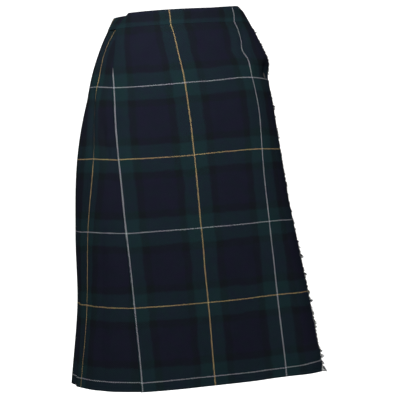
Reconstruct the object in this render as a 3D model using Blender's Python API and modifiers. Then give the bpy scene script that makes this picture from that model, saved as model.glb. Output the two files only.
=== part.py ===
"""Scottish kilt: a long wrap-over kilt in its worn form, open at the waist and the hem.

One flat outer apron crosses the front, fifteen knife-pleat faces go round the back, and an
under apron runs on beneath the front. Three lengths of waistband close the top, and two leather
straps with buckles fasten the fringed edge at the wearer's left.
+Z is up and the wearer faces -Y. The origin is the middle of the waistband's top.
"""
import math
from collections import namedtuple

import bmesh
import bpy
from mathutils import Vector

# Sizes are in millimetres and become metres where a vertex is made.
MM = 0.001

CLOTH = 1.5              # thickness of the wool cloth
SEAM = 0.3               # space between pieces that are sewn together
BAND_CLOTH = 2.4         # thickness of the folded waistband
BAND_PROUD = 0.5         # how far the band's face stands outside the skirt's
BAND_HEIGHT = 29.0
BACK_BAND_DROP = 5.0     # the back band starts this far below the front band's top
LENGTH = 760.0           # waistband's top to hem, along the cloth
UNDER_LENGTH = 752.0     # the same on the under apron
BAND_START = -88.0       # front band's slanted end, at its top
BAND_SLANT = -39.0       # and how far past that it is at its foot

APRON_EDGE = 228.0       # apron's straight edge, from the middle yellow line
PLEATS_END = 208.0       # last pleat's fold, hidden under the apron's edge
UNDER_END = -112.0       # far edge of the under apron
FIRST_FOLD = -338.0      # first knife pleat's fold, along the cloth
FIRST_PLEAT = 102.0      # cloth taken by the first knife pleat
PLEAT = 74.0             # cloth taken by each of the others
FACES = 15               # pleat faces from the first fold to the last
SINK = 6.0               # how far the pleats step in to pass under the apron's edge
SINK_LENGTH = 150.0      # the length of wall over which they step in

# One row for each body level: how far down the cloth it is, its height, its four half-widths and
# where the middle yellow line crosses it.
Station = namedtuple("Station", "down z right left front back centre")
STATIONS = (
    Station(0, 0, 115, 150, 105, 100, -45),        # waist
    Station(60, -60, 148, 167, 115, 110, -40),     # high hip
    Station(150, -145, 180, 188, 125, 120, -30),   # hip
    Station(300, -287, 214, 198, 135, 140, -25),   # thigh
    Station(450, -431, 226, 207, 143, 160, -24),   # knee
    Station(600, -577, 231, 223, 150, 175, -23),   # calf
    Station(760, -731, 252, 246, 162, 195, -22),   # hem
)
# How square each corner of the shape is, at the waist and at the hem (2 is an ellipse).
SQUARE_RIGHT = (2.15, 2.4)
SQUARE_LEFT = (1.9, 4.0)
SQUARE_BACK = 2.3

# The middle of the waist, from the point that the half-widths start at.
WAIST_MIDDLE = Vector((17.5, -3.0))

# The apron's folded edge at the wearer's right: where it lies, and how much cloth it hides.
Fold = namedtuple("Fold", "down edge hidden")
APRON_FOLD = (
    Fold(29, -127, 160),
    Fold(60, -127, 135),
    Fold(150, -147, 100),
    Fold(300, -150, 85),
    Fold(450, -150, 55),
    Fold(600, -148, 28),
    Fold(760, -149, 10),
)

# How far the apron's free edge stands out: it gapes between the two straps, and again at the hem.
Flare = namedtuple("Flare", "down out")
APRON_FLARE = (
    Flare(0, 0), Flare(29, 1.5), Flare(46, 5), Flare(76, 9), Flare(106, 12), Flare(119, 9.5),
    Flare(134, 3), Flare(149, 0.5), Flare(210, 0), Flare(380, 1.5), Flare(470, 5), Flare(570, 9),
    Flare(670, 12), Flare(760, 13.5),
)
FLARE_LENGTH = 123.0     # the length of wall over which it stands out

# Distance between the layers of a pleat, from face to underlay.
Layer = namedtuple("Layer", "down pitch")
LAYERS = (Layer(29, 2.0), Layer(297, 2.1), Layer(760, 3.0))

# How deep the under apron lies behind the outer one.
Depth = namedtuple("Depth", "down depth")
UNDER_DEPTH = (Depth(0, 8.0), Depth(149, 8.0), Depth(445, 9.0), Depth(760, 11.0))

# The rows and columns that the walls are built through.
SKIRT_ROWS = (
    BAND_HEIGHT + SEAM, 46, 60, 76, 92, 106, 119, 134, 149, 210, 297, 380, 470, 570, 670, LENGTH,
)
APRON_STEPS = 20         # across the apron's flat part
FOLD_STEPS = 4           # along each layer of the apron's fold
SIDE_STEPS = 6           # across the side, before the first knife pleat
BAND_STEPS = 18          # along the front and the under length of the band
BACK_BAND_STEPS = 26
RING_STEPS = 1440        # points that a section's length is measured along
PROBE = 2.0              # half the length of wall that its direction is read from
SETTLE_LENGTH = 80.0     # the length over which the under apron sinks to its own depth
BAND_SETTLE_LENGTH = 60.0

STRAND_PITCH = 8.0       # spacing of the fringe's strands down the edge
STRIP_WIDTH = 2.0        # the strip of cloth that the strands grow from
STRAND_LENGTH = 7.5
STRAND_TIP = 0.45        # a strand's tip, as a share of its root

# The fastening is laid out along the wall from the apron's edge, up it, and out from its face.
REST = 0.7               # how far the leather's underside lies off the folds beneath it
STRAP_WIDTH = 20.0
STRAP_TUCK = 20.0        # how much of a strap lies under the apron
STRAP_THICKNESS = 2.0
TAB_THICKNESS = 1.2
TAB_NECK = 18.0          # width where the tab wraps the heel bar
TAB_WIDTH = 27.0
TAB_LENGTH = 38.0        # from the heel bar to the tab's sewn end
SHOULDER = 22.0          # heel bar to where the tab is at its full width
NECK_FOOT = 16.0         # and to where it has narrowed
SLOT_FOOT = 3.0          # and to the end of the prong's slot
SLOT_PLAY = 0.6
LAP_TOUCH = 10.0         # and to where the tab's folded end meets its lower layer
LAP_END = 15.0
PANEL_REACH = 16.0       # half the height of wall that a fastening is laid out on
WIRE = 1.5               # radius of the buckle's bars
PRONG = 0.8              # radius of the prong
PRONG_START = -170.0     # where its hook starts round the heel bar, in degrees, and each step of it
PRONG_STEP = 52.0
BAR_PLAY = 0.1           # more space round the heel bar, for what bends round it in short stretches
FRAME_HALF = 14.0        # middle of the frame to its long sides
FRAME_CORNER = 3.0
FRONT_BAR = 34.0         # the apron's edge to the bar that the prong rests on
HEEL_BAR = 60.0          # the apron's edge to the bar that the prong hinges on
KEEPER = 90.0            # the apron's edge to the keeper loop
KEEPER_THICKNESS = 1.0
KEEPER_HALF = 3.0
WAIST_STRAP = 16.5       # how far down the cloth each strap lies
HIP_STRAP = 147.0

# One row for each bend of a strap: along, out and half its width there.
Bend = namedtuple("Bend", "along out half")
HALF = STRAP_WIDTH / 2
OVER_HOOK = 8.5          # how far out the strap passes over the prong's hook
STRAP_BENDS = (
    Bend(8, 1.6, HALF), Bend(47, 1.6, HALF), Bend(49, 3.0, HALF), Bend(56, OVER_HOOK, HALF),
    Bend(57.5, OVER_HOOK, HALF), Bend(63, OVER_HOOK, HALF), Bend(74, 4.8, HALF), Bend(84, 3.1, HALF),
    Bend(102, 3.1, HALF), Bend(108, 3.1, 7), Bend(111, 3.1, 3),
)
STRAP_STEP = 6.0         # longest straight stretch of leather
STRAP_HOLE = (49, 57.5)  # along, from end to end
HOLE_HALF = 1.6

WOOL_GREEN = (0.012, 0.026, 0.030, 1.0)
WOOL_NAVY = (0.010, 0.012, 0.024, 1.0)
BAND_GREEN = (0.014, 0.022, 0.026, 1.0)
LEATHER_BLACK = (0.010, 0.009, 0.009, 1.0)
STEEL = (0.62, 0.62, 0.60, 1.0)


def clear_scene():
    """Remove what the file opened with."""
    for old in list(bpy.data.objects):
        bpy.data.objects.remove(old, do_unlink=True)


def make_collection(name):
    """Make a collection in the scene and give it back."""
    collection = bpy.data.collections.new(name)
    bpy.context.scene.collection.children.link(collection)
    return collection


def make_material(name, colour, roughness, metallic=0.0):
    """Make a plain material of one colour."""
    material = bpy.data.materials.new(name)
    material.use_nodes = True
    shader = material.node_tree.nodes["Principled BSDF"]
    shader.inputs["Base Color"].default_value = colour
    shader.inputs["Roughness"].default_value = roughness
    shader.inputs["Metallic"].default_value = metallic
    material.diffuse_color = colour
    return material


def blend(table, column, down):
    """Read a table's column at a distance down the cloth, smoothly between its rows."""
    last = len(table) - 2
    k = max(i for i in range(last + 1) if i == 0 or table[i].down <= down)
    before, here, there, after = (table[min(max(k + i, 0), last + 1)] for i in (-1, 0, 1, 2))
    span = there.down - here.down
    part = min(max((down - here.down) / span, 0.0), 1.0)
    p, q = getattr(here, column), getattr(there, column)
    tilt_in = (q - getattr(before, column)) / max(there.down - before.down, 1e-6) * span
    tilt_out = (getattr(after, column) - p) / max(after.down - here.down, 1e-6) * span
    square, cube = part * part, part ** 3
    return ((2 * cube - 3 * square + 1) * p + (cube - 2 * square + part) * tilt_in
            + (3 * square - 2 * cube) * q + (cube - square) * tilt_out)


def power(value, square):
    """A sine or cosine raised to the power that squares an ellipse's corners."""
    return math.copysign(abs(value) ** (2.0 / square), value)


class Ring:
    """One level section of the worn shape, read by length along it from the yellow line.

    Lengths are positive towards the wearer's left, and run on past a full turn.
    """

    def __init__(self, down):
        size = {name: blend(STATIONS, name, down) for name in Station._fields[1:]}
        square_right, square_left = (waist + (hem - waist) * down / LENGTH
                                     for waist, hem in (SQUARE_RIGHT, SQUARE_LEFT))
        self.z = size["z"]
        self.centre = size["centre"]
        self.points = []
        for step in range(RING_STEPS + 1):
            turn = math.tau * step / RING_STEPS
            side, ahead = math.sin(turn), math.cos(turn)
            width = size["left"] if side > 0 else size["right"]
            front_square = square_left if side > 0 else square_right
            square = front_square if ahead > 0 else SQUARE_BACK
            depth = size["front"] if ahead > 0 else size["back"]
            corner = Vector((width * power(side, square), -depth * power(ahead, square)))
            self.points.append(corner - WAIST_MIDDLE)
        self.lengths = [0.0]
        for first, second in zip(self.points, self.points[1:]):
            self.lengths.append(self.lengths[-1] + (second - first).length)
        self.round = self.lengths[-1]

    def _at(self, length):
        length = (length + self.centre) % self.round
        low, high = 0, RING_STEPS
        while high - low > 1:
            middle = (low + high) // 2
            if self.lengths[middle] <= length:
                low = middle
            else:
                high = middle
        part = (length - self.lengths[low]) / (self.lengths[high] - self.lengths[low])
        return self.points[low].lerp(self.points[high], part)

    def place(self, length, depth):
        """The point at a length along the section and a depth inside its surface."""
        along = self._at(length + PROBE) - self._at(length - PROBE)
        outward = Vector((along.y, -along.x)).normalized()
        return self._at(length) - outward * depth


def smooth(part):
    """Ease from 0 to 1."""
    part = min(max(part, 0.0), 1.0)
    return part * part * (3 - 2 * part)


def sink(ring, length):
    """How far the pleats and the back band have stepped in at a length along the section."""
    past_edge = length + ring.round - APRON_EDGE
    return SINK * (1 - smooth(past_edge / SINK_LENGTH))


def flare(down, length):
    """How far the apron stands out towards its free edge."""
    return blend(APRON_FLARE, "out", down) * smooth(1 - (APRON_EDGE - length) / FLARE_LENGTH)


def steps(first, last, count):
    """Count equal steps from first to last, without the first."""
    return [first + (last - first) * i / count for i in range(1, count + 1)]


def apron_path(down):
    """Outer apron from its straight edge to the inside of its fold, as (length, depth)."""
    edge = blend(APRON_FOLD, "edge", down)
    inside = edge + blend(APRON_FOLD, "hidden", down) / 2
    pitch = blend(LAYERS, "pitch", down)
    face = CLOTH / 2
    flat = [APRON_EDGE] + steps(APRON_EDGE, inside, APRON_STEPS)
    path = [(s, face - flare(down, s)) for s in flat]
    path += [(s, face) for s in steps(inside, edge, FOLD_STEPS)]
    path += [(edge, face + pitch)]
    path += [(s, face + pitch) for s in steps(edge, inside, FOLD_STEPS)]
    return path


def fold_lines(ring, down):
    """Length along the section of each knife pleat's fold, first to last."""
    first = FIRST_FOLD + blend(APRON_FOLD, "hidden", down)
    last = PLEATS_END - ring.round
    return [first] + steps(first, last, FACES)


def pleated_path(ring, down):
    """Side and knife pleats from inside the apron's fold to inside the last pleat."""
    edge = blend(APRON_FOLD, "edge", down)
    inside = edge + blend(APRON_FOLD, "hidden", down) / 2
    pitch = blend(LAYERS, "pitch", down)
    face = CLOTH / 2
    start = face + pitch + CLOTH + SEAM
    folds = fold_lines(ring, down)
    width = folds[0] - folds[1]
    path = [(inside, start)] + [(s, start) for s in steps(inside, edge, FOLD_STEPS)]
    before, low = edge, start
    for number, fold in enumerate(folds):
        taken = FIRST_PLEAT if number == 0 else PLEAT
        under = (taken - width) / 2
        rise = (low - face) / (before - fold)
        top = face + rise * under
        if number == 0:
            path += [(s, low - rise * (before - s)) for s in steps(before, fold + under, SIDE_STEPS)]
            path += [(s, low - rise * (before - s)) for s in steps(fold + under, fold, 2)]
            path += [(fold, face + pitch)]
            path += [(s, face + pitch + rise * (s - fold)) for s in steps(fold, fold + under, 2)]
            path += [(fold + under, top + 2 * pitch)]
            path += [(s, face + 2 * pitch + rise * (s - fold)) for s in steps(fold + under, fold, 2)]
        else:
            path += [(fold + under, top), (fold, face)]
            path += [(fold, face + pitch), (fold + under, top + pitch)]
            path += [(fold + under, top + 2 * pitch), (fold, face + 2 * pitch)]
        before, low = fold, face + 2 * pitch
    return [(s, depth + sink(ring, s)) for s, depth in path[:-2]]


def under_path(ring, down):
    """Under apron from inside the last pleat to its far edge, beneath the outer apron."""
    folds = fold_lines(ring, down)
    pitch = blend(LAYERS, "pitch", down)
    width = folds[0] - folds[1]
    under = (PLEAT - width) / 2
    rise = 2 * pitch / width
    start = PLEATS_END + under
    low = CLOTH / 2 + pitch + CLOTH + SEAM + SINK
    deep = max(blend(UNDER_DEPTH, "depth", down), low - 2.0)
    path = [(start, low + rise * under), (PLEATS_END, low)]
    for s in steps(PLEATS_END, UNDER_END, APRON_STEPS):
        path.append((s, low + (deep - low) * smooth((PLEATS_END - s) / SETTLE_LENGTH)))
    return path


def offset(points, distance):
    """A path moved sideways, with square corners kept square."""
    moved = []
    for k, point in enumerate(points):
        ahead = points[min(k + 1, len(points) - 1)] - points[k] if k < len(points) - 1 else None
        behind = points[k] - points[k - 1] if k else None
        first = (behind or ahead).normalized()
        second = (ahead or behind).normalized()
        normal = Vector((first.y + second.y, -first.x - second.x)).normalized()
        reach = distance / max(normal.dot(Vector((second.y, -second.x))), 0.5)
        moved.append(point + normal * reach)
    return moved


def make_wall(name, rows, thickness, material, collection):
    """Close a wall of even thickness through level rows of (z, middle path)."""
    mesh = bmesh.new()
    sides = []
    for distance in (thickness / 2, -thickness / 2):
        sides.append([[mesh.verts.new(Vector((p.x, p.y, z)) * MM) for p in offset(path, distance)]
                      for z, path in rows])
    outer, inner = sides
    last_row, last_column = len(rows) - 1, len(outer[0]) - 1
    for r in range(last_row):
        for c in range(last_column):
            for side in sides:
                mesh.faces.new((side[r][c], side[r][c + 1], side[r + 1][c + 1], side[r + 1][c]))
        for c in (0, last_column):
            mesh.faces.new((outer[r][c], inner[r][c], inner[r + 1][c], outer[r + 1][c]))
    for r in (0, last_row):
        for c in range(last_column):
            mesh.faces.new((outer[r][c], outer[r][c + 1], inner[r][c + 1], inner[r][c]))
    return finish_mesh(name, mesh, material, collection)


def finish_mesh(name, mesh, material, collection):
    """Turn a finished mesh into a named object, its quads split along their shorter diagonals."""
    bmesh.ops.triangulate(mesh, faces=mesh.faces, quad_method="SHORT_EDGE")
    bmesh.ops.recalc_face_normals(mesh, faces=mesh.faces)
    data = bpy.data.meshes.new(name)
    mesh.to_mesh(data)
    mesh.free()
    data.materials.append(material)
    item = bpy.data.objects.new(name, data)
    collection.objects.link(item)
    return item


def skirt_rows(path_of, rows):
    """Place a path on each section: (height, points)."""
    placed = []
    for down in rows:
        ring = Ring(down)
        placed.append((ring.z, [ring.place(s, depth) for s, depth in path_of(ring, down)]))
    return placed


def make_outer_apron(collection):
    """The flat apron across the front, with its folded edge."""
    wool = make_material("wool_green", WOOL_GREEN, 0.9)
    rows = skirt_rows(lambda ring, down: apron_path(down), SKIRT_ROWS)
    make_wall("outer_apron", rows, CLOTH, wool, collection)


def make_pleated_back(collection):
    """The side and the knife pleats round the back."""
    wool = make_material("wool_navy", WOOL_NAVY, 0.9)
    make_wall("pleated_back", skirt_rows(pleated_path, SKIRT_ROWS), CLOTH, wool, collection)


def make_under_apron(collection):
    """The plain apron beneath the front, a little shorter than the outer one."""
    wool = make_material("wool_under", WOOL_GREEN, 0.9)
    rows = SKIRT_ROWS[:-1] + (UNDER_LENGTH,)
    make_wall("under_apron", skirt_rows(under_path, rows), CLOTH, wool, collection)


def make_waistband(collection):
    """The front, back and under lengths of the band, each a strip round its own stretch."""
    wool = make_material("wool_band", BAND_GREEN, 0.9)
    face = BAND_CLOTH / 2 - BAND_PROUD

    def slant(down):
        return BAND_START + BAND_SLANT * down / BAND_HEIGHT

    def front_path(ring, down):
        lengths = [APRON_EDGE] + steps(APRON_EDGE, slant(down), BAND_STEPS)
        return [(s, face - flare(down, s)) for s in lengths]

    def back_path(ring, down):
        start, end = slant(down) - SEAM, PLEATS_END - ring.round
        return [(s, face + sink(ring, s)) for s in [start] + steps(start, end, BACK_BAND_STEPS)]

    def under_band_path(ring, down):
        start = PLEATS_END - SEAM
        lengths = [start] + steps(start, UNDER_END, BAND_STEPS)
        deep = blend(UNDER_DEPTH, "depth", down) - face - SINK
        return [(s, face + SINK + deep * smooth((start - s) / BAND_SETTLE_LENGTH)) for s in lengths]

    full = (0.0, BAND_HEIGHT / 2, BAND_HEIGHT)
    lowered = (BACK_BAND_DROP, (BACK_BAND_DROP + BAND_HEIGHT) / 2, BAND_HEIGHT)
    make_wall("waistband_front", skirt_rows(front_path, full), BAND_CLOTH, wool, collection)
    make_wall("waistband_back", skirt_rows(back_path, lowered), BAND_CLOTH, wool, collection)
    make_wall("waistband_under", skirt_rows(under_band_path, lowered), BAND_CLOTH, wool, collection)


def make_fringe(collection):
    """A narrow strip along the apron's edge, with strands drawn out of every other cell."""
    wool = make_material("wool_fringe", WOOL_GREEN, 0.95)
    top = BAND_HEIGHT + SEAM
    cells = 2 * int((LENGTH - top) / STRAND_PITCH) + 1
    near, far = APRON_EDGE + SEAM, APRON_EDGE + SEAM + STRIP_WIDTH
    mesh = bmesh.new()
    rows = []
    for down in [top] + steps(top, LENGTH, cells):
        ring = Ring(down)
        corners = [ring.place(s, depth - flare(down, s))
                   for s, depth in ((near, 0), (far, 0), (far, CLOTH), (near, CLOTH))]
        rows.append([mesh.verts.new(Vector((p.x, p.y, ring.z)) * MM) for p in corners])
    roots = []
    for k, (upper, lower) in enumerate(zip(rows, rows[1:])):
        for c in range(4):
            face = mesh.faces.new((upper[c], upper[(c + 1) % 4], lower[(c + 1) % 4], lower[c]))
            if c == 1 and k % 2 == 0:
                roots.append(face)
    mesh.faces.new(rows[0])
    mesh.faces.new(reversed(rows[-1]))
    bmesh.ops.recalc_face_normals(mesh, faces=mesh.faces)
    grown = bmesh.ops.extrude_discrete_faces(mesh, faces=roots)["faces"]
    for face in grown:
        middle = face.calc_center_median()
        for vert in face.verts:
            vert.co = middle.lerp(vert.co, STRAND_TIP) + face.normal * STRAND_LENGTH * MM
    return finish_mesh("apron_fringe", mesh, wool, collection)


class Panel:
    """A stretch of wall past the apron's edge that the fastening is laid on."""

    def __init__(self, down, proud):
        self.proud = proud
        self.upper, self.lower = Ring(down - PANEL_REACH), Ring(down + PANEL_REACH)

    def place(self, along, up, out):
        """A point so far along from the apron's edge, up from the middle and out from the face."""
        ends = []
        for ring in (self.lower, self.upper):
            length = APRON_EDGE + along - ring.round
            spot = ring.place(length, sink(ring, length) - self.proud - out)
            ends.append(Vector((spot.x, spot.y, ring.z)))
        return ends[0].lerp(ends[1], (up + PANEL_REACH) / (2 * PANEL_REACH)) * MM


def make_leather(name, panel, rows, thickness, hole, collection):
    """A strip of leather through rows of (along, up, out), thickened, with a slot of cells cut out."""
    mesh = bmesh.new()
    grid = [[mesh.verts.new(panel.place(*spot)) for spot in row] for row in rows]
    for upper, lower in zip(grid, grid[1:]):
        for c in range(len(upper) - 1):
            mesh.faces.new((upper[c], upper[c + 1], lower[c + 1], lower[c]))
    mesh.faces.ensure_lookup_table()
    bmesh.ops.delete(mesh, geom=[mesh.faces[k] for k in hole], context="FACES")
    leather = make_material(name + "_leather", LEATHER_BLACK, 0.45)
    strip = finish_mesh(name, mesh, leather, collection)
    solid = strip.modifiers.new("thickness", "SOLIDIFY")
    solid.thickness = thickness * MM
    solid.offset = 0.0
    solid.use_even_offset = True
    return strip


def make_wire(name, points, radius, closed, collection):
    """A bent steel wire through points."""
    curve = bpy.data.curves.new(name, "CURVE")
    curve.dimensions = "3D"
    curve.bevel_depth = radius * MM
    curve.bevel_resolution = 1
    curve.use_fill_caps = not closed
    spline = curve.splines.new("POLY")
    spline.points.add(len(points) - 1)
    for knot, point in zip(spline.points, points):
        knot.co = (*point, 1.0)
    spline.use_cyclic_u = closed
    curve.materials.append(make_material(name + "_steel", STEEL, 0.3, 1.0))
    wire = bpy.data.objects.new(name, curve)
    collection.objects.link(wire)
    return wire


def split_bends(bends):
    """The same bends with more between them, so that no straight stretch is too long."""
    stations = [bends[0]]
    for near, far in zip(bends, bends[1:]):
        count = math.ceil(math.hypot(far.along - near.along, far.out - near.out) / STRAP_STEP)
        parts = [i / count for i in range(1, count + 1)]
        stations += [Bend(*(p + (q - p) * part for p, q in zip(near, far))) for part in parts]
    return stations


def make_strap(place, panel, root, collection):
    """A strap from under the apron's edge, through the buckle and the keeper."""
    stations = split_bends((Bend(-STRAP_TUCK, root, HALF), Bend(0, root, HALF)) + STRAP_BENDS)
    rows = []
    holes = []
    for k, station in enumerate(stations):
        inner = min(HOLE_HALF, station.half / 2)
        edges = (-station.half, -inner, inner, station.half)
        rows.append([(station.along, up, station.out) for up in edges])
        if STRAP_HOLE[0] <= station.along < STRAP_HOLE[1]:
            holes.append(3 * k + 1)
    make_leather("strap_" + place, panel, rows, STRAP_THICKNESS, holes, collection)


def make_frame(name, panel, front, heel, collection):
    """A buckle's frame: a wire rectangle with round corners, sloping from its front bar to its heel."""
    near, far = FRONT_BAR + FRAME_CORNER, HEEL_BAR - FRAME_CORNER
    side = FRAME_HALF - FRAME_CORNER
    loop = []
    for along, up, start in ((near, -side, 2), (far, -side, 3), (far, side, 0), (near, side, 1)):
        for half in range(3):
            turn = math.radians(90 * start + 45 * half)
            spot = along + FRAME_CORNER * math.cos(turn)
            part = (spot - FRONT_BAR) / (HEEL_BAR - FRONT_BAR)
            loop.append(panel.place(spot, up + FRAME_CORNER * math.sin(turn), front + (heel - front) * part))
    make_wire(name, loop, WIRE, True, collection)


def make_prong(name, panel, front, heel, collection):
    """A thin wire hooked round the heel bar, with its tip on the front bar."""
    round_bar = WIRE + SEAM + BAR_PLAY + PRONG
    route = []
    for step in range(6):
        turn = math.radians(PRONG_START + PRONG_STEP * step)
        route.append((HEEL_BAR + round_bar * math.cos(turn), heel + round_bar * math.sin(turn)))
    route.append((FRONT_BAR - WIRE / 2, front + round_bar))
    make_wire(name, [panel.place(along, 0.0, out) for along, out in route], PRONG, False, collection)


def make_tab(name, panel, lift, heel, collection):
    """A leather tab, folded round the heel bar with a slot for the prong."""
    wrap = heel - lift
    neck, wide = TAB_NECK / 2, TAB_WIDTH / 2
    slot = 2 * PRONG + SEAM + SLOT_PLAY
    upper = lift + TAB_THICKNESS + SEAM
    side = [Bend(HEEL_BAR + TAB_LENGTH, lift, wide), Bend(HEEL_BAR + SHOULDER, lift, wide),
            Bend(HEEL_BAR + NECK_FOOT, lift, neck), Bend(HEEL_BAR + SLOT_FOOT, lift, neck)]
    for step in range(6):
        turn = math.radians(36 * step)
        side.append(Bend(HEEL_BAR - wrap * math.sin(turn), heel - wrap * math.cos(turn), neck))
    side += [Bend(HEEL_BAR + SLOT_FOOT, heel + wrap, neck), Bend(HEEL_BAR + LAP_TOUCH, upper, neck),
             Bend(HEEL_BAR + LAP_END, upper, neck)]
    rows = []
    holes = []
    for k, bend in enumerate(split_bends(side)):
        rows.append([(bend.along, up, bend.out) for up in (-bend.half, -slot, slot, bend.half)])
        if bend.along <= HEEL_BAR + SLOT_FOOT:
            holes.append(3 * k + 1)
    make_leather(name, panel, rows, TAB_THICKNESS, holes[:-1], collection)


def make_keeper(name, panel, foot, collection):
    """A narrow leather loop over the strap's end."""
    half = STRAP_WIDTH / 2 + SEAM + KEEPER_THICKNESS / 2
    top = STRAP_BENDS[-1].out + STRAP_THICKNESS / 2 + SEAM + KEEPER_THICKNESS / 2
    arch = ((-half, foot), (-half, top), (0.0, top), (half, top), (half, foot))
    ends = (KEEPER - KEEPER_HALF, KEEPER + KEEPER_HALF)
    rows = [[(along, up, out) for along in ends] for up, out in arch]
    make_leather(name, panel, rows, KEEPER_THICKNESS, [], collection)


def make_buckle(place, panel, collection):
    """A frame, its prong, the tab that holds them, and the keeper past them."""
    lift = REST + TAB_THICKNESS / 2
    heel = lift + WIRE + SEAM + BAR_PLAY + TAB_THICKNESS / 2
    front = REST + STRAP_THICKNESS + SEAM + WIRE
    make_frame("buckle_" + place, panel, front, heel, collection)
    make_prong("prong_" + place, panel, front, heel, collection)
    make_tab("tab_" + place, panel, lift, heel, collection)
    make_keeper("keeper_" + place, panel, lift + TAB_THICKNESS / 2 + SEAM, collection)


def make_fastening(collection):
    """Two straps with their buckles, at the waist and at the hip."""
    for place, down, proud, root in (("waist", WAIST_STRAP, BAND_PROUD, 1.6), ("hip", HIP_STRAP, 0.0, 2.3)):
        panel = Panel(down, proud)
        make_strap(place, panel, root, collection)
        make_buckle(place, panel, collection)


def main():
    clear_scene()
    kilt = make_collection("scottish_kilt")
    make_outer_apron(kilt)
    make_pleated_back(kilt)
    make_under_apron(kilt)
    make_waistband(kilt)
    make_fringe(kilt)
    make_fastening(kilt)


main()
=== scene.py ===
"""A long wrap-over tartan kilt in its worn form, with a fringed apron, knife pleats and side straps.

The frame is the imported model's: metres, +Z up, the wearer faces -Y, and the origin is the middle
of the waistband's top.
"""
import math
import random
from collections import namedtuple

import bmesh
import bpy
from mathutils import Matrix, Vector


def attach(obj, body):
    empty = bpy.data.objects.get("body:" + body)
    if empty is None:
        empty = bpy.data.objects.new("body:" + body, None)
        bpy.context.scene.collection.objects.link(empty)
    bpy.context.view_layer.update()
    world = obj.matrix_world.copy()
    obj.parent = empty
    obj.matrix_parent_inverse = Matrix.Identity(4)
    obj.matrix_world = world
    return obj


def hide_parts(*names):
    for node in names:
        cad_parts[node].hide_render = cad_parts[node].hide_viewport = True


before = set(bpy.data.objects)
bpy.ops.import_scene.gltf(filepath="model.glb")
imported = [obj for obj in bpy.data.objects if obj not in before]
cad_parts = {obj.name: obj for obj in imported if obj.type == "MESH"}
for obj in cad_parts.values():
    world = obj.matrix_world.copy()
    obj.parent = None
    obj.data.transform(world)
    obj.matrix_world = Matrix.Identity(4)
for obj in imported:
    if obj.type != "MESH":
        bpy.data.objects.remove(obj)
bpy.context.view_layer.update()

# ---------------------------------------------------------------------------------------------
# Camera: a long lens at hip height, in front of the wearer's right side, leaning a little.

CAMERA_LENS = 156.7
CAMERA_SENSOR = 36.0
CAMERA_PLACE = (-1.248, -3.273, -0.223)
CAMERA_TURN = (87.45, 3.90, -21.25)      # in degrees
camera_data = bpy.data.cameras.new("camera")
camera_data.lens = CAMERA_LENS
camera_data.sensor_width = CAMERA_SENSOR
camera = bpy.data.objects.new("camera", camera_data)
camera.location = CAMERA_PLACE
camera.rotation_euler = [math.radians(turn) for turn in CAMERA_TURN]
bpy.context.scene.collection.objects.link(camera)
bpy.context.scene.camera = camera


# ---------------------------------------------------------------------------------------------
# Outer apron: one flat width of tartan wool across the front. Its straight edge is at the
# wearer's left, and at the right it turns under in a fold that is deep at the waist and runs out
# at the hem.

MM = 0.001
WOOL = 1.1               # thickness of the twill
BAND_HEIGHT = 29.0
SEAM = 0.3
LENGTH = 760.0
APRON_EDGE = 228.0
ROW_STEP = 8.0           # spacing of the rows of points down the cloth

# The worn shape, as in the solids: one row for each body level, in millimetres.
Station = namedtuple("Station", "down z right left front back centre")
STATIONS = (
    Station(0, 0, 115, 150, 105, 100, -45),        # waist
    Station(60, -60, 148, 167, 115, 110, -40),     # high hip
    Station(150, -145, 180, 188, 125, 120, -30),   # hip
    Station(300, -287, 214, 198, 135, 140, -25),   # thigh
    Station(450, -431, 226, 207, 143, 160, -24),   # knee
    Station(600, -577, 231, 223, 150, 175, -23),   # calf
    Station(760, -731, 252, 246, 162, 195, -22),   # hem
)
# How square each corner of the shape is, at the waist and at the hem (2 is an ellipse).
SQUARE_RIGHT = (2.15, 2.4)
SQUARE_LEFT = (1.9, 4.0)
SQUARE_BACK = 2.3
WAIST_MIDDLE = Vector((17.5, -3.0))

Fold = namedtuple("Fold", "down edge hidden")
APRON_FOLD = (
    Fold(29, -127, 160),
    Fold(60, -127, 135),
    Fold(150, -147, 100),
    Fold(300, -150, 85),
    Fold(450, -150, 55),
    Fold(600, -148, 28),
    Fold(760, -149, 10),
)

# How far the free edge stands out: it gapes between the two straps, and again at the hem.
Flare = namedtuple("Flare", "down out")
APRON_FLARE = (
    Flare(0, 0), Flare(29, 1.5), Flare(46, 5), Flare(76, 9), Flare(106, 12), Flare(119, 9.5),
    Flare(134, 3), Flare(149, 0.5), Flare(210, 0), Flare(380, 1.5), Flare(470, 5), Flare(570, 9),
    Flare(670, 12), Flare(760, 13.5),
)
FLARE_LENGTH = 123.0

# Each of the front's lines by its own place in the cloth, and how far it is eased in at the waist,
# an ease that runs out by this far down. green_far is where the green beside white_far ends.
EASED_DOWN = 290.0
PAST_EDGE = 20.0         # the cloth's measure is read this far past the free edge
Line = namedtuple("Line", "cloth eased")
FRONT_LINES = {
    "white_far": Line(-148.0, 24.0),
    "green_far": Line(-121.0, 31.0),
    "yellow": Line(0.0, 0.0),
    "white_near": Line(148.0, 0.0),
}
# Where a line wanders: how far down, over how much cloth, and how far towards the wearer's left.
Wander = namedtuple("Wander", "line down reach by")
WANDERS = (
    Wander("yellow", 29, 12, -2.5),
    Wander("white_near", 29, 9, -5.0),
    Wander("white_near", 88, 14, -8.0),
    Wander("white_near", 215, 80, 9.5),
    Wander("white_far", 640, 170, 4.0),
    Wander("green_far", 640, 170, 3.0),
    Wander("yellow", 800, 120, -2.5),
)

# The side: where its own yellow line lies, and its measure where it leaves the apron's fold.
Side = namedtuple("Side", "down line leaves")
SIDE = (
    Side(29, -134, -287),
    Side(75, -167, -252),
    Side(130, -185, -247),
    Side(200, -204, -242),
    Side(300, -208, -233),
    Side(440, -238, -201),
    Side(600, -265, -182),
    Side(760, -297, -177),
)

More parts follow.
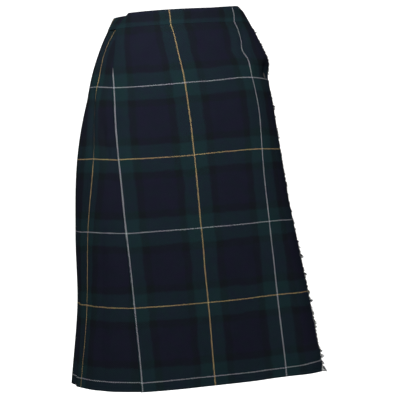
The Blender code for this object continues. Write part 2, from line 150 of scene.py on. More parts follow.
# Where the crosswise lines are pulled up or let down: a place, its reach each way, and how far down.
Pull = namedtuple("Pull", "along down reach_along reach_down by")
PULLS = (
    Pull(-75, 150, 60, 80, 1.8),
    Pull(130, 150, 55, 70, -4.0),
    Pull(-50, 300, 60, 90, 1.2),
    Pull(100, 300, 60, 80, -1.9),
    Pull(80, 680, 60, 130, 1.8),
    Pull(228, 735, 40, 25, -6.0),
)
EDGE_DROP = 2.6          # the front's free edge hangs this much lower
DROP_START = 150.0       # from this far along, over so much cloth
DROP_LENGTH = 75.0
SIDE_RISE = (3.5, 6.5)   # the side is drawn up, at the waist and at the hem
BACK_RISE = 4.3
SAG_START = 100.0        # all of it grows from the waistband over this much cloth

Layer = namedtuple("Layer", "down pitch")
LAYERS = (Layer(29, 2.0), Layer(297, 2.1), Layer(760, 3.0))
FACE = 0.75              # middle of the cloth's wall, inside the worn surface


def blend(table, column, down):
    """Read a table's column at a distance down the cloth, smoothly between its rows."""
    last = len(table) - 2
    k = max(i for i in range(last + 1) if i == 0 or table[i].down <= down)
    before, here, there, after = (table[min(max(k + i, 0), last + 1)] for i in (-1, 0, 1, 2))
    span = there.down - here.down
    part = min(max((down - here.down) / span, 0.0), 1.0)
    p, q = getattr(here, column), getattr(there, column)
    tilt_in = (q - getattr(before, column)) / max(there.down - before.down, 1e-6) * span
    tilt_out = (getattr(after, column) - p) / max(after.down - here.down, 1e-6) * span
    square, cube = part * part, part ** 3
    return ((2 * cube - 3 * square + 1) * p + (cube - 2 * square + part) * tilt_in
            + (3 * square - 2 * cube) * q + (cube - square) * tilt_out)


def smooth(part):
    """Ease from 0 to 1."""
    part = min(max(part, 0.0), 1.0)
    return part * part * (3 - 2 * part)


def steps(first, last, count):
    """Count equal steps from first to last, without the first."""
    return [first + (last - first) * i / count for i in range(1, count + 1)]


class Ring:
    """One level of the worn shape, read by length along it from the middle yellow line."""

    TURNS = 1440
    PROBE = 2.0              # half the length of surface that its direction is read from

    def __init__(self, down):
        size = {name: blend(STATIONS, name, down) for name in Station._fields[1:]}
        square_right, square_left = (waist + (hem - waist) * down / LENGTH
                                     for waist, hem in (SQUARE_RIGHT, SQUARE_LEFT))
        self.z = size["z"]
        self.centre = size["centre"]
        self.points = []
        for step in range(self.TURNS + 1):
            turn = math.tau * step / self.TURNS
            side, ahead = math.sin(turn), math.cos(turn)
            width = size["left"] if side > 0 else size["right"]
            front_square = square_left if side > 0 else square_right
            square = front_square if ahead > 0 else SQUARE_BACK
            depth = size["front"] if ahead > 0 else size["back"]
            corner = Vector((math.copysign(width * abs(side) ** (2 / square), side),
                             -math.copysign(depth * abs(ahead) ** (2 / square), ahead)))
            self.points.append(corner - WAIST_MIDDLE)
        self.lengths = [0.0]
        for first, second in zip(self.points, self.points[1:]):
            self.lengths.append(self.lengths[-1] + (second - first).length)
        self.round = self.lengths[-1]

    def _at(self, length):
        length = (length + self.centre) % self.round
        low, high = 0, self.TURNS
        while high - low > 1:
            middle = (low + high) // 2
            if self.lengths[middle] <= length:
                low = middle
            else:
                high = middle
        part = (length - self.lengths[low]) / (self.lengths[high] - self.lengths[low])
        return self.points[low].lerp(self.points[high], part)

    def place(self, length, depth):
        """The point, in metres, at a length along the level and a depth inside its surface."""
        along = self._at(length + self.PROBE) - self._at(length - self.PROBE)
        outward = Vector((along.y, -along.x)).normalized()
        spot = self._at(length) - outward * depth
        return Vector((spot.x, spot.y, self.z)) * MM


def flare(down, length):
    """How far the apron stands out towards its free edge."""
    return blend(APRON_FLARE, "out", down) * smooth(1 - (APRON_EDGE - length) / FLARE_LENGTH)


def read_steps(knots, place):
    """Read a list of (place, value) pairs in straight stretches, level beyond its ends."""
    if place <= knots[0][0]:
        return knots[0][1]
    for (near, low), (far, high) in zip(knots, knots[1:]):
        if place <= far:
            return low + (high - low) * (place - near) / (far - near)
    return knots[-1][1]


def line_place(name, down):
    """Where one of the front's lines lies along the level."""
    line = FRONT_LINES[name]
    eased = line.eased * max(1 - down / EASED_DOWN, 0.0) ** 2
    wander = sum(w.by * math.exp(-((down - w.down) / w.reach) ** 2) for w in WANDERS if w.line == name)
    return line.cloth + eased + wander


def sag_start(down):
    """How much of the sag there is, this far down."""
    return smooth((down - BAND_HEIGHT) / SAG_START)


def apron_cloth(down, length):
    """The apron's own measure across, and how far it sags, at a place on its face."""
    knots = [(line_place(name, down), line.cloth) for name, line in FRONT_LINES.items()]
    knots.append((APRON_EDGE + PAST_EDGE, APRON_EDGE + PAST_EDGE))
    across = read_steps(knots, length) + min(length - knots[0][0], 0.0)
    sag = EDGE_DROP * smooth((length - DROP_START) / DROP_LENGTH)
    for pull in PULLS:
        off_along = (length - pull.along) / pull.reach_along
        off_down = (down - pull.down) / pull.reach_down
        sag += pull.by * math.exp(-off_along ** 2 - off_down ** 2)
    return across, sag * sag_start(down)


# Soft creases: where the middle lies along the cloth at its top and its foot, from how far down
# to how far, how wide it is and how far it stands out (or in, below zero).
CREASE_RUN = 0.3         # share of a crease's length over which it rises, and dies away again
CREASE_PAST = 0.05       # share by which it is still read past its ends
Crease = namedtuple("Crease", "along_top along_foot top foot width rise")
APRON_CREASES = (
    Crease(203, 210, 106, 154, 11, -6.0),
    Crease(160, 152, 34, 84, 9, -1.6),
    Crease(134, 128, 52, 118, 11, 1.5),
    Crease(158, 160, 86, 150, 9, 1.6),
    Crease(-60, -78, 40, 150, 26, 1.0),
    Crease(60, 84, 60, 210, 30, -0.9),
    Crease(-112, -120, 330, 640, 26, -1.4),
    Crease(30, 44, 420, 735, 34, 1.3),
    Crease(112, 124, 380, 760, 30, -1.6),
    Crease(190, 196, 430, 760, 20, 1.5),
    Crease(-40, -30, 560, 760, 24, -1.0),
)


def relief(creases, along, down):
    """How far the creases lift the cloth at a place on it."""
    lift = 0.0
    for crease in creases:
        span = crease.foot - crease.top
        part = (down - crease.top) / span
        if -CREASE_PAST < part < 1 + CREASE_PAST:
            middle = crease.along_top + (crease.along_foot - crease.along_top) * part
            dies = 1.0 if crease.foot >= LENGTH else smooth((1 - part) / CREASE_RUN)
            away = (along - middle) / crease.width
            lift += crease.rise * smooth(part / CREASE_RUN) * dies * math.exp(-away ** 2)
    return lift


def turn_back(edge, depth, pitch, across, way):
    """The round of a pressed fold, as (length, depth, cloth) points; way is -1 on an outer fold."""
    radius = pitch / 2
    arc = []
    for quarter in range(5):
        angle = math.pi * quarter / 4
        arc.append((edge - way * radius * (1 - math.sin(angle)), depth + radius * (1 - math.cos(angle)),
                    across + radius * (math.pi / 2 - angle)))
    return arc


APRON_STEPS = 62         # points across the apron, round its fold and in the part behind
FOLD_STEPS = 18
HIDDEN_STEPS = 10


def apron_path(ring, down):
    """The apron from its straight edge to the inside of its fold: length, depth and cloth."""
    edge = blend(APRON_FOLD, "edge", down)
    inside = edge + blend(APRON_FOLD, "hidden", down) / 2
    pitch = blend(LAYERS, "pitch", down)
    radius = pitch / 2
    flat = [APRON_EDGE] + steps(APRON_EDGE, inside, APRON_STEPS)
    flat += steps(inside, edge + radius, FOLD_STEPS)[:-1]
    path = [(s, FACE - relief(APRON_CREASES, s, down) - flare(down, s), *apron_cloth(down, s))
            for s in flat]
    turned, sag = apron_cloth(down, edge)
    path += [(s, depth, across, sag) for s, depth, across in turn_back(edge, FACE, pitch, turned, -1)]
    path += [(s, FACE + pitch, turned - (s - edge), sag) for s in steps(edge + radius, inside, HIDDEN_STEPS)]
    return path


SMOOTH_UNDER = math.radians(50)          # edges sharper than this stay sharp


def lay_cloth(name, path_of, rows, thickness):
    """Make a piece of cloth from a path on each level, with the cloth's own measure as its map."""
    mesh = bmesh.new()
    cloth_map = mesh.loops.layers.uv.new("cloth")
    grid, marks = [], {}
    for down in rows:
        ring = Ring(down)
        line = []
        for length, depth, across, sag in path_of(ring, down):
            spot = mesh.verts.new(ring.place(length, depth) - Vector((0, 0, sag * MM)))
            marks[spot] = (across * MM, down * MM)
            line.append(spot)
        grid.append(line)
    for upper, lower in zip(grid, grid[1:]):
        for c in range(len(upper) - 1):
            face = mesh.faces.new((upper[c], upper[c + 1], lower[c + 1], lower[c]))
            for loop in face.loops:
                loop[cloth_map].uv = marks[loop.vert]
    bmesh.ops.recalc_face_normals(mesh, faces=mesh.faces)
    data = bpy.data.meshes.new(name)
    mesh.to_mesh(data)
    mesh.free()
    piece = bpy.data.objects.new(name, data)
    bpy.context.scene.collection.objects.link(piece)
    bpy.ops.object.select_all(action="DESELECT")
    piece.select_set(True)
    bpy.context.view_layer.objects.active = piece
    wall = piece.modifiers.new("wall", "SOLIDIFY")
    wall.thickness = thickness * MM
    wall.offset = 0.0
    wall.use_even_offset = True
    bpy.ops.object.modifier_apply(modifier=wall.name)
    bpy.ops.object.shade_smooth_by_angle(angle=SMOOTH_UNDER)
    return piece


class Value:
    """A shader number that sums and compares like a plain one."""

    def __init__(self, recipe, socket):
        self.recipe, self.socket = recipe, socket

    def _with(self, operation, *others):
        return self.recipe.math(operation, self, *others)

    def __add__(self, other):
        return self._with("ADD", other)

    def __sub__(self, other):
        return self._with("SUBTRACT", other)

    def __rsub__(self, other):
        return self.recipe.math("SUBTRACT", other, self)

    def __mul__(self, other):
        return self._with("MULTIPLY", other)

    def __truediv__(self, other):
        return self._with("DIVIDE", other)

    def __mod__(self, other):
        return self._with("FLOORED_MODULO", other)

    def __lt__(self, other):
        return self._with("LESS_THAN", other)

    def __gt__(self, other):
        return self._with("GREATER_THAN", other)

    __radd__ = __add__
    __rmul__ = __mul__

    def rounded(self):
        """To the nearest whole number."""
        return self._with("ROUND")

    def floored(self):
        """Down to a whole number."""
        return self._with("FLOOR")

    def size(self):
        """Without its sign."""
        return self._with("ABSOLUTE")

    def clamped(self, low, high):
        """Held between two values."""
        return self._with("MAXIMUM", low)._with("MINIMUM", high)


class Recipe:
    """A material in the making."""

    def __init__(self, name):
        self.material = bpy.data.materials.new(name)
        self.material.use_nodes = True
        self.tree = self.material.node_tree
        self.shader = self.tree.nodes["Principled BSDF"]

    def link(self, value, socket):
        """Join a value to a socket, or set the socket to a plain one."""
        if isinstance(value, Value):
            self.tree.links.new(value.socket, socket)
        else:
            socket.default_value = value

    def node(self, kind, settings=None, inputs=None, output=0):
        """Add a node of a type with its settings and its inputs; gives back one output."""
        made = self.tree.nodes.new(kind)
        for key, value in (settings or {}).items():
            if key == "stops":
                ramp = made.color_ramp
                while len(ramp.elements) < len(value):
                    ramp.elements.new(0.5)
                for stop, (place, colour) in zip(ramp.elements, value):
                    stop.position, stop.color = place, colour
            elif key == "interpolation":
                made.color_ramp.interpolation = value
            else:
                setattr(made, key, value)
        for key, value in (inputs or {}).items():
            self.link(value, made.inputs[key])
        return Value(self, made.outputs[output])

    def math(self, operation, *values):
        """Add a sum or a comparison of numbers."""
        return self.node("ShaderNodeMath", {"operation": operation}, dict(enumerate(values)))

    def mix(self, part, first, second, blend_type="MIX"):
        """Mix two colours."""
        made = self.tree.nodes.new("ShaderNodeMix")
        made.data_type, made.blend_type = "RGBA", blend_type
        self.link(part, made.inputs["Factor"])
        self.link(first, made.inputs[6])
        self.link(second, made.inputs[7])
        return Value(self, made.outputs[2])

    def set(self, **inputs):
        """Set or link the shader's own sockets, with _ for each space."""
        for key, value in inputs.items():
            self.link(value, self.shader.inputs[key.replace("_", " ")])


# The tartan is woven in a 2/2 twill, with one sett both ways. White and yellow lines take turns,
# each in the middle of a green stripe, with black and then navy between them.
HALF_SETT = 0.148
LINE_HALF = 0.0013
GREEN_HALF = 0.027
BLACK_HALF = 0.042
THREAD = 0.00085
SETT_START = 0.001       # the yellow line nearest the top edge lies this far down the cloth
YARN_GREEN = (0.0104, 0.0238, 0.0285, 1.0)
YARN_BLACK = (0.0085, 0.0110, 0.0140, 1.0)
YARN_NAVY = (0.0104, 0.0118, 0.0216, 1.0)
YARN_WHITE = (0.33, 0.34, 0.37, 1.0)
YARN_YELLOW = (0.43, 0.31, 0.145, 1.0)


def yarn_colour(recipe, along, line_half, blur):
    """The colour of the yarn at a distance across the sett."""
    turns = along / HALF_SETT
    nearest = turns.rounded()
    off = (turns - nearest).size() * HALF_SETT
    edge = off + blur
    white_turn = nearest.size() % 2.0
    line = recipe.mix(white_turn, YARN_YELLOW, YARN_WHITE)
    ground = recipe.mix(edge > BLACK_HALF, YARN_BLACK, YARN_NAVY)
    ground = recipe.mix(edge < GREEN_HALF, ground, YARN_GREEN)
    return recipe.mix(off < line_half, ground, line)


def make_tartan(name, weft_start, weft_only=False):
    """Twill tartan that reads the cloth's own measure."""
    recipe = Recipe(name)
    place = recipe.node("ShaderNodeUVMap", {"uv_map": "cloth"})
    across = recipe.node("ShaderNodeSeparateXYZ", inputs={0: place}, output=0)
    down = recipe.node("ShaderNodeSeparateXYZ", inputs={0: place}, output=1)
    drift = recipe.node("ShaderNodeTexNoise", inputs={"Vector": place, "Scale": 9.0, "Detail": 1.0})
    stray = recipe.node("ShaderNodeTexNoise", inputs={"Vector": place, "Scale": 210.0, "Detail": 1.0})
    wander = (drift - 0.5) * 0.0026 + (stray - 0.5) * 0.0016
    uneven = LINE_HALF * (0.75 + stray * 0.4)
    heather = recipe.node("ShaderNodeTexNoise", inputs={"Vector": place, "Scale": 900.0, "Detail": 2.0})
    cloud = recipe.node("ShaderNodeTexNoise", inputs={"Vector": place, "Scale": 26.0, "Detail": 3.0})
    blur = (heather - 0.5) * 0.016 + (cloud - 0.5) * 0.010
    warp = yarn_colour(recipe, across + wander, uneven, blur)
    weft = yarn_colour(recipe, down + wander - weft_start, uneven * 0.82, blur)
    thread = (across / THREAD).floored() + (down / THREAD).floored()
    on_top = (thread % 4.0) < 2.0
    cloth = weft if weft_only else recipe.mix(on_top, warp, weft)
    shade = 0.72 + heather * 0.34 + cloud * 0.22
    dye = recipe.node("ShaderNodeTexNoise", inputs={"Vector": place, "Scale": 48.0, "Detail": 1.0})
    tone = recipe.node("ShaderNodeCombineColor", inputs={
        0: shade * (1.10 - dye * 0.20), 1: shade * (0.86 + dye * 0.28), 2: shade * (1.07 - dye * 0.14)})
    colour = recipe.mix(1.0, cloth, tone, "MULTIPLY")
    ridge = ((across + down) / (4.0 * THREAD)) % 1.0
    rib = (ridge - 0.5).size() * 2.0 + heather * 0.5
    bump = recipe.node("ShaderNodeBump", inputs={"Strength": 0.45, "Distance": 0.0004, "Height": rib})
    recipe.set(Base_Color=colour, Roughness=0.88 - cloud * 0.08, Normal=bump)
    recipe.set(Specular_IOR_Level=0.0, Sheen_Weight=0.002, Sheen_Roughness=0.5)
    return recipe.material


skirt_rows = [BAND_HEIGHT + SEAM] + steps(BAND_HEIGHT + SEAM, LENGTH, round(LENGTH / ROW_STEP))
outer_apron = lay_cloth("outer_apron_cloth", apron_path, skirt_rows, WOOL)
tartan = make_tartan("tartan_twill", SETT_START)
outer_apron.data.materials.append(tartan)
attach(outer_apron, "root")
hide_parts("outer_apron")


# ---------------------------------------------------------------------------------------------
# Pleated side and back: the cloth comes out from inside the apron's fold, crosses the side, and
# goes round the back in knife pleats, each pressed to a sharp fold that faces the wearer's left.

PLEATS_END = 208.0
FIRST_FOLD = -338.0
SIDE_LINE = -296.0       # the side's yellow line, along the cloth
GREEN_END = -269.5       # where the green past that line ends, along the cloth
GREEN_SHOWS = 15.0       # and how far from the line, as worn
FIRST_PLEAT = 102.0
PLEAT = 74.0
FACES = 15
SINK = 6.0
SINK_LENGTH = 150.0
FACE_SHIFT = 22.0        # cloth that the first pleat leaves to the second
LAYER_GAP = 1.8          # room between the apron's fold and the layer under it
FACE_BOW = 0.9           # each pleat's face bows out this much between its folds
SWING_START = 330.0      # the folds swing and lift from this far down, and fully at the hem
BACK_RISE_AT = 60.0      # how far past the side's yellow line the back's rise is reached
SIDE_STEPS = 26          # points across the side, and across each pleat's face
FACE_STEPS = 9

# How much of the side's yellow line a small tuck hides, at each level.
Tuck = namedtuple("Tuck", "down taken")
TUCKS = (
    Tuck(29, 2), Tuck(75, 0), Tuck(165, 0), Tuck(195, 2), Tuck(225, 6), Tuck(285, 5), Tuck(305, 0.5),
    Tuck(330, 0), Tuck(760, 0),
)

# Each fold's own set: how far it swings along the hem, and how far it lifts off there.
Swing = namedtuple("Swing", "along lift")
SWINGS = (
    Swing(0.0, 1.0), Swing(2.0, 2.5), Swing(-3.0, 1.0), Swing(1.5, 3.5), Swing(4.0, 2.0), Swing(-2.0, 4.0),
    Swing(-4.5, 1.5), Swing(1.0, 3.0), Swing(3.0, 4.5), Swing(-1.0, 1.0), Swing(-3.5, 3.5), Swing(2.5, 2.0),
    Swing(0.5, 4.0), Swing(-2.5, 1.5), Swing(1.5, 2.5), Swing(0.0, 0.0),
)
SIDE_CREASES = (
    Crease(-170, -171, 262, 305, 3, -3.0),
    Crease(-204, -214, 130, 310, 6, -4.0),
    Crease(-192, -190, 110, 330, 5, 1.8),
    Crease(-176, -178, 215, 330, 4, -2.2),
    Crease(-196, -232, 380, 760, 9, -2.0),
    Crease(-180, -206, 400, 760, 12, 1.4),
    Crease(-262, -300, 330, 760, 14, 1.5),
)


def sink(ring, length):
    """How far the pleats step in, to pass under the apron's edge."""
    past_edge = length + ring.round - APRON_EDGE
    return SINK * (1 - smooth(past_edge / SINK_LENGTH))


def fold_lines(ring, down):
    """Length along the level of each knife pleat's fold."""
    first = FIRST_FOLD + blend(APRON_FOLD, "hidden", down)
    return [first] + steps(first, PLEATS_END - ring.round, FACES)


def pleated_path(ring, down):
    """The side and the knife pleats: length, depth and cloth."""
    edge = blend(APRON_FOLD, "edge", down)
    inside = edge + blend(APRON_FOLD, "hidden", down) / 2
    pitch = blend(LAYERS, "pitch", down)
    radius = pitch / 2
    start = FACE + pitch + LAYER_GAP
    hem = smooth((down - SWING_START) / (LENGTH - SWING_START))
    folds = fold_lines(ring, down)
    width = folds[0] - folds[1]
    # The side's measure is set at the apron's fold, at its own yellow line and at the first pleat.
    line, leaves = blend(SIDE, "line", down), blend(SIDE, "leaves", down)
    tuck = blend(TUCKS, "taken", down)
    knots = [(folds[0], FIRST_FOLD), (line - 1, SIDE_LINE - 1 - tuck), (line + 1, SIDE_LINE + 1 + tuck)]
    if leaves > GREEN_END:
        knots.append((line + GREEN_SHOWS, GREEN_END))
    knots.append((edge, leaves))
    side_rise = SIDE_RISE[0] + (SIDE_RISE[1] - SIDE_RISE[0]) * down / LENGTH
    sags = [(line - BACK_RISE_AT, -BACK_RISE * sag_start(down)), (line, -side_rise * sag_start(down)),
            (edge, apron_cloth(down, edge)[1])]
    path = [(s, start, leaves + (s - edge)) for s in [inside] + steps(inside, edge, 8)]
    before, low, across = edge, start, leaves
    for number, (fold, swing) in enumerate(zip(folds, SWINGS)):
        taken = FIRST_PLEAT if number == 0 else PLEAT
        under = (taken - width) / 2
        rise = (low - FACE) / (before - fold)
        top = FACE + rise * under
        lift = swing.lift * hem
        shift = swing.along * hem
        face_steps = SIDE_STEPS if number == 0 else FACE_STEPS
        for s in steps(before, fold + radius, face_steps)[:-1]:
            part = (before - s) / (before - fold)
            bow = FACE_BOW * math.sin(math.pi * part) * (0 if number == 0 else 1)
            crease = relief(SIDE_CREASES, s, down) if number == 0 else 0.0
            measure = read_steps(knots, s) if number == 0 else across - (before - s)
            path.append((s + shift * part ** 3, low - rise * (before - s) + bow - lift * part ** 3 - crease,
                         measure))
        across = FIRST_FOLD if number == 0 else across - (before - fold)
        path += [(s + shift, d - lift, u) for s, d, u in turn_back(fold, FACE, pitch, across, -1)]
        for s in steps(fold + radius, fold + under - radius, 3):
            part = 1 - (s - fold) / under
            path.append((s + shift * part, FACE + pitch + rise * (s - fold) - lift * part,
                         across - (s - fold)))
        path += turn_back(fold + under, top + pitch, pitch, across - under, 1)
        for s in steps(fold + under - radius, fold, 3):
            path.append((s, FACE + 2 * pitch + rise * (s - fold), across - 2 * under + (s - fold)))
        across -= 2 * under + {0: -FACE_SHIFT, 1: FACE_SHIFT}.get(number, 0.0)
        before, low = fold, FACE + 2 * pitch
    return [(s, depth + sink(ring, s), u, read_steps(sags, s)) for s, depth, u in path[:-4]]


pleated_back = lay_cloth("pleated_back_cloth", pleated_path, skirt_rows, WOOL)
pleated_back.data.materials.append(tartan)
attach(pleated_back, "root")
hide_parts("pleated_back")


# ---------------------------------------------------------------------------------------------
# Under apron: the same cloth runs on beneath the front and ends inside the apron's fold.

UNDER_LENGTH = 752.0
UNDER_END = -112.0
SETTLE_LENGTH = 80.0     # the length over which it sinks to its own depth
LEAST_DEPTH = 2.0        # it never lies further out than this from the pleats' inside
Depth = namedtuple("Depth", "down depth")
UNDER_DEPTH = (Depth(0, 8.0), Depth(149, 8.0), Depth(445, 9.0), Depth(760, 11.0))


def under_path(ring, down):
    """The under apron from inside the last pleat to its far edge: length, depth and cloth."""
    folds = fold_lines(ring, down)
    pitch = blend(LAYERS, "pitch", down)
    width = folds[0] - folds[1]
    under = (PLEAT - width) / 2
    low = FACE + pitch + LAYER_GAP + SINK
    deep = max(blend(UNDER_DEPTH, "depth", down), low - LEAST_DEPTH)
    start = PLEATS_END + under
    cloth = FIRST_FOLD - FIRST_PLEAT - PLEAT * (FACES - 1)
    path = []
    for s in [start] + steps(start, PLEATS_END, 4) + steps(PLEATS_END, UNDER_END, 40):
        rise = 2 * pitch / width * max(s - PLEATS_END, 0.0)
        settle = (deep - low) * smooth((PLEATS_END - s) / SETTLE_LENGTH)
        path.append((s, low + rise + settle, cloth - (start - s), 0.0))
    return path


under_rows = [BAND_HEIGHT + SEAM] + steps(BAND_HEIGHT + SEAM, UNDER_LENGTH, 60)
under_apron = lay_cloth("under_apron_cloth", under_path, under_rows, WOOL)
under_apron.data.materials.append(tartan)
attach(under_apron, "root")
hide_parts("under_apron")


# ---------------------------------------------------------------------------------------------
# Waistband: strips of the same cloth folded over a stiffener, in three lengths.

BAND_LAP = 0.25          # how far the band comes down over the seam
BAND_CLOTH = 2.0
BACK_BAND_DROP = 5.0
BAND_WEFT = 0.048        # the band is cut between two lines, where the ground turns from black to green
BAND_FACE = 0.7          # how deep the middle of its wall lies
TOP_PILLOW = 0.5         # and how much deeper at the top and at the seam
SEAM_PILLOW = 0.2
BAND_SETTLE_LENGTH = 60.0
FRONT_BAND_START = -88.0
FRONT_BAND_SLANT = 39.0
BACK_BAND_CUT = 246.0    # where the other two lengths are cut along the sett
UNDER_BAND_CUT = 90.0
band_tartan = make_tartan("tartan_band", BAND_WEFT)


def band_depth(down, top):
    """How deep the band's wall lies: a little pillowed, and drawn in at its seam and its top."""
    part = (down - top) / (BAND_HEIGHT - top)
    return BAND_FACE + (TOP_PILLOW if part < 0.5 else SEAM_PILLOW) * abs(2 * part - 1) ** 3


def band_start(down):
    """Where the front length of the band starts: its end is cut on a slant."""
    return FRONT_BAND_START - FRONT_BAND_SLANT * down / BAND_HEIGHT


# The front length's top edge rises a little towards its free end, and its corner has dropped.
BAND_TOP = ((90.0, 0.0), (160.0, -3.0), (172.0, -3.0), (190.0, 4.0), (228.0, 11.0))


def front_band_path(ring, down):
    """The front length: length, depth, cloth and how far its top edge is lowered."""
    face = band_depth(down, 0.0)
    lengths = [APRON_EDGE] + steps(APRON_EDGE, band_start(down), 70)
    near_top = 1 - down / BAND_HEIGHT
    return [(s, face - flare(down, s), apron_cloth(down, s)[0], read_steps(BAND_TOP, s) * near_top)
            for s in lengths]


def back_band_path(ring, down):
    """The length round the back, which steps in to pass under the apron's edge."""
    face = band_depth(down, BACK_BAND_DROP)
    start, end = band_start(down) - SEAM, PLEATS_END - ring.round
    return [(s, face + sink(ring, s), s - start - BACK_BAND_CUT, 0.0)
            for s in [start] + steps(start, end, 100)]


def under_band_path(ring, down):
    """The length beneath the front, at the under apron's own depth."""
    face = band_depth(down, BACK_BAND_DROP)
    start = PLEATS_END - SEAM
    deep = blend(UNDER_DEPTH, "depth", down) - BAND_FACE - SINK
    return [(s, face + SINK + deep * smooth((start - s) / BAND_SETTLE_LENGTH), s - UNDER_BAND_CUT, 0.0)
            for s in [start] + steps(start, UNDER_END, 60)]


band_parts = (0.0, 0.02, 0.07, 0.16, 0.3, 0.5, 0.7, 0.84, 0.93, 0.98, 1.0)
for node, path, top in (("waistband_front", front_band_path, 0.0),
                        ("waistband_back", back_band_path, BACK_BAND_DROP),
                        ("waistband_under", under_band_path, BACK_BAND_DROP)):
    rows = [top + (BAND_HEIGHT + BAND_LAP - top) * part for part in band_parts]
    band = lay_cloth(node + "_cloth", path, rows, BAND_CLOTH)
    rounding = band.modifiers.new("rounding", "BEVEL")
    rounding.width = 0.4 * MM
    rounding.segments = 2
    rounding.limit_method = "ANGLE"
    rounding.angle_limit = math.radians(60)
    bpy.ops.object.modifier_apply(modifier=rounding.name)
    bpy.ops.object.shade_smooth_by_angle(angle=SMOOTH_UNDER)
    band.data.materials.append(band_tartan)
    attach(band, "root")
    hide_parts(node)


# ---------------------------------------------------------------------------------------------
# Fringe: the apron's straight edge is frayed, so its crosswise yarns stand out in small tufts,
# each in the colour that it has across the cloth.

FRAYED = 9.0             # length of the yarn ends
YARN_PITCH = 0.9
YARN_RADIUS = 0.5
YARN_TAPER = ((0.0, 1.0), (0.35, 1.05), (0.7, 0.8), (1.0, 0.35))
ROOT_IN = 0.6            # the ends leave the cloth this far inside its edge
ROOT_PROBE = 8.0         # and run on in the direction that it has over this length
FIRST_DROP = 0.8
TUFT_SPREAD = 0.62       # how much the ends of a tuft come together
HEM_TUFT_START = 735.0   # towards the hem the tufts are longer and hang lower
HEM_TUFT_LENGTH = 18.0
HEM_TUFT_REACH = 9.0
HEM_TUFT_FALL = 4.0

random.seed(7)
fringe_mesh = bmesh.new()
fringe_map = fringe_mesh.loops.layers.uv.new("cloth")
count = int((LENGTH - BAND_HEIGHT - SEAM) / YARN_PITCH)
left, size = 0, 0
for number in range(count):
    down = BAND_HEIGHT + SEAM + FIRST_DROP + (number + random.uniform(-0.2, 0.2)) * YARN_PITCH
    if left == 0:
        left = size = random.choice((3, 4, 5, 6, 7, 8, 10, 13))
        tuft_reach = random.choice((0.5, 0.65, 0.75, 0.85, 0.95, 1.1, 1.3))
        tuft_fall = random.uniform(-1.0, 3.5)
        tuft_lean = random.uniform(-0.1, 0.35)
    left -= 1
    aside = (left - (size - 1) / 2) * YARN_PITCH
    ring = Ring(min(down, LENGTH - 0.4))
    root_depth = FACE - relief(APRON_CREASES, APRON_EDGE, down) - flare(down, APRON_EDGE)
    root = ring.place(APRON_EDGE - ROOT_IN, root_depth)
    root.z -= apron_cloth(down, APRON_EDGE)[1] * MM
    inner = ring.place(APRON_EDGE - ROOT_PROBE, FACE - flare(down, APRON_EDGE - ROOT_PROBE))
    outward = (ring.place(APRON_EDGE, 0.0) - ring.place(APRON_EDGE, 1.0)).normalized()
    straight = Vector((root.x - inner.x, root.y - inner.y, 0.0)).normalized()
    near_hem = smooth((down - HEM_TUFT_START) / HEM_TUFT_LENGTH)
    reach = FRAYED * tuft_reach * random.uniform(0.88, 1.08) * (1 - 0.5 * near_hem)
    reach = (reach + HEM_TUFT_REACH * near_hem) * MM
    fall = tuft_fall + aside * TUFT_SPREAD + random.uniform(-0.5, 0.5) + HEM_TUFT_FALL * near_hem
    lean = tuft_lean + random.uniform(-0.08, 0.08)
    loops = []
    for part, taper in YARN_TAPER:
        spot = root + straight * reach * part + outward * reach * lean * part * part
        spot.z -= fall * part * part * MM
        radius = YARN_RADIUS * taper * MM
        loops.append([fringe_mesh.verts.new(spot + outward * radius * math.cos(turn)
                                            + Vector((0, 0, radius * math.sin(turn))))
                      for turn in (0.5, 2.6, 4.7)])
    faces = [fringe_mesh.faces.new(reversed(loops[0])), fringe_mesh.faces.new(loops[-1])]
    for first, second in zip(loops, loops[1:]):
        for c in range(3):
            after = (c + 1) % 3
            faces.append(fringe_mesh.faces.new((first[c], first[after], second[after], second[c])))
    for face in faces:
        for loop in face.loops:
            loop[fringe_map].uv = ((APRON_EDGE + number % 3) * MM, down * MM)
bmesh.ops.recalc_face_normals(fringe_mesh, faces=fringe_mesh.faces)
fringe_data = bpy.data.meshes.new("apron_fringe_yarn")
fringe_mesh.to_mesh(fringe_data)
fringe_mesh.free()
fringe = bpy.data.objects.new("apron_fringe_yarn", fringe_data)
bpy.context.scene.collection.objects.link(fringe)
fringe.data.materials.append(make_tartan("fringe_yarn_ends", SETT_START, weft_only=True))
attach(fringe, "root")
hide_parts("apron_fringe")


# ---------------------------------------------------------------------------------------------
# Straps, tabs and keepers: black leather cut in strips, with rounded edges and a fine grain.

def copy_node(node, name):
    """Copy a solid's mesh with its loose triangles joined."""
    copy = bpy.data.objects.new(name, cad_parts[node].data.copy())
    bpy.context.scene.collection.objects.link(copy)
    bpy.ops.object.select_all(action="DESELECT")
    copy.select_set(True)
    bpy.context.view_layer.objects.active = copy
    bpy.ops.object.mode_set(mode="EDIT")
    bpy.ops.mesh.select_all(action="SELECT")
    bpy.ops.mesh.remove_doubles(threshold=0.00002)
    bpy.ops.mesh.tris_convert_to_quads()
    bpy.ops.object.mode_set(mode="OBJECT")
    copy.data.materials.clear()
    return copy


leather = Recipe("black_leather_grain")
place = leather.node("ShaderNodeTexCoord", output=3)
pores = leather.node("ShaderNodeTexVoronoi", inputs={"Vector": place, "Scale": 1400.0})
wear = leather.node("ShaderNodeTexNoise", inputs={"Vector": place, "Scale": 160.0, "Detail": 4.0})
hide = leather.mix(wear, (0.005, 0.0045, 0.004, 1), (0.022, 0.019, 0.017, 1))
grain = leather.node("ShaderNodeBump", inputs={
    "Strength": 0.35, "Distance": 0.0002, "Height": pores + wear * 0.6})
leather.set(Base_Color=hide, Roughness=0.34 + wear * 0.22, Normal=grain, Specular_IOR_Level=0.35)

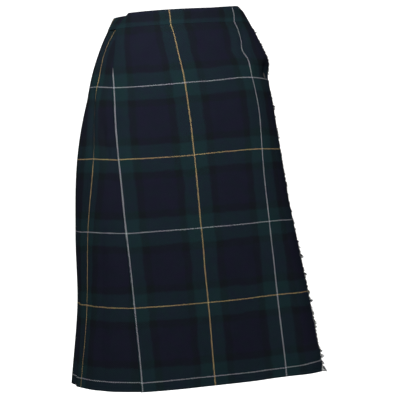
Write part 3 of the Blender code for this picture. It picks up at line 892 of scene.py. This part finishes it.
for node in ("strap_waist", "strap_hip", "tab_waist", "tab_hip", "keeper_waist", "keeper_hip"):
    strip = copy_node(node, node + "_leather")
    edge = strip.modifiers.new("edge", "BEVEL")
    edge.width = 0.35 * MM
    edge.segments = 2
    edge.limit_method = "ANGLE"
    edge.angle_limit = math.radians(50)
    bpy.ops.object.modifier_apply(modifier=edge.name)
    bpy.ops.object.shade_smooth_by_angle(angle=math.radians(40))
    strip.data.materials.append(leather.material)
    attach(strip, "root")
    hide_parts(node)


# ---------------------------------------------------------------------------------------------
# Buckles and prongs: bent nickel-plated wire.

steel = Recipe("nickel_wire")
place = steel.node("ShaderNodeTexCoord", output=3)
scuff = steel.node("ShaderNodeTexNoise", inputs={"Vector": place, "Scale": 420.0, "Detail": 5.0})
dull = steel.mix(scuff, (0.55, 0.54, 0.51, 1), (0.78, 0.77, 0.74, 1))
steel.set(Base_Color=dull, Metallic=1.0, Roughness=0.16 + scuff * 0.2)

for node in ("buckle_waist", "buckle_hip", "prong_waist", "prong_hip"):
    wire = copy_node(node, node + "_wire")
    rounding = wire.modifiers.new("rounding", "SUBSURF")
    rounding.levels = rounding.render_levels = 2
    bpy.ops.object.modifier_apply(modifier=rounding.name)
    bpy.ops.object.shade_smooth()
    wire.data.materials.append(steel.material)
    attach(wire, "root")
    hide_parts(node)


# ---------------------------------------------------------------------------------------------
# Stage: a pale seamless sweep well below the hem, and soft studio light from above the front.

FLOOR = -1.15
SWEEP_SIDE = 9.0
SWEEP_BACK = 3.5         # where the floor starts to curve up, the curve's radius, and its top
SWEEP_ROUND = 1.5
SWEEP_TOP = 6.0
GLOW_START = 0.7
GLOW_LENGTH = 0.4
bpy.ops.mesh.primitive_plane_add(size=1.0, location=(0, 0, 0))
sweep = bpy.context.object
sweep.name = "studio_sweep"
bm = bmesh.new()
columns = []
for x in (-SWEEP_SIDE, SWEEP_SIDE):
    profile = [(-SWEEP_SIDE, FLOOR), (SWEEP_BACK, FLOOR)]
    profile += [(SWEEP_BACK + SWEEP_ROUND * math.sin(a), FLOOR + SWEEP_ROUND - SWEEP_ROUND * math.cos(a))
                for a in (math.radians(step) for step in range(10, 91, 10))]
    profile += [(SWEEP_BACK + SWEEP_ROUND, SWEEP_TOP)]
    columns.append([bm.verts.new((x, y, z)) for y, z in profile])
for k in range(len(columns[0]) - 1):
    bm.faces.new((columns[0][k], columns[1][k], columns[1][k + 1], columns[0][k + 1]))
bm.to_mesh(sweep.data)
bm.free()
sweep.data.shade_smooth()
paper = Recipe("studio_paper")
place = paper.node("ShaderNodeTexCoord", output=3)
behind = paper.node("ShaderNodeSeparateXYZ", inputs={0: place}, output=1) - GLOW_START
behind = behind.clamped(0.0, GLOW_LENGTH) / GLOW_LENGTH
glow = paper.node("ShaderNodeCombineColor", inputs={0: behind, 1: behind, 2: behind})
paper.set(Base_Color=(0.5, 0.5, 0.5, 1), Roughness=0.9, Specular_IOR_Level=0.1)
paper.set(Emission_Color=glow, Emission_Strength=1.0)
sweep.data.materials.append(paper.material)

world = bpy.data.worlds.new("studio")
bpy.context.scene.world = world
world.use_nodes = True
world.node_tree.nodes["Background"].inputs["Color"].default_value = (1, 1, 1, 1)
world.node_tree.nodes["Background"].inputs["Strength"].default_value = 0.10

for name, spot, aim, size, power in (
        ("key", (-0.65, -1.70, 1.35), (0, 0, 0.18), 1.0, 17.6),
        ("fill", (-1.4, -2.8, 0.6), (0, 0, 0.0), 1.8, 1.4),
        ("back", (0.4, 2.6, 1.8), (0, 0, -0.3), 1.6, 30)):
    lamp = bpy.data.lights.new(name, "AREA")
    lamp.energy = power
    lamp.size = size
    lamp.spread = math.radians(180 if name == "back" else 85)
    light = bpy.data.objects.new(name, lamp)
    light.location = spot
    light.rotation_euler = (Vector(aim) - Vector(spot)).to_track_quat("-Z", "Y").to_euler()
    bpy.context.scene.collection.objects.link(light)

bpy.context.scene.view_settings.view_transform = "Standard"
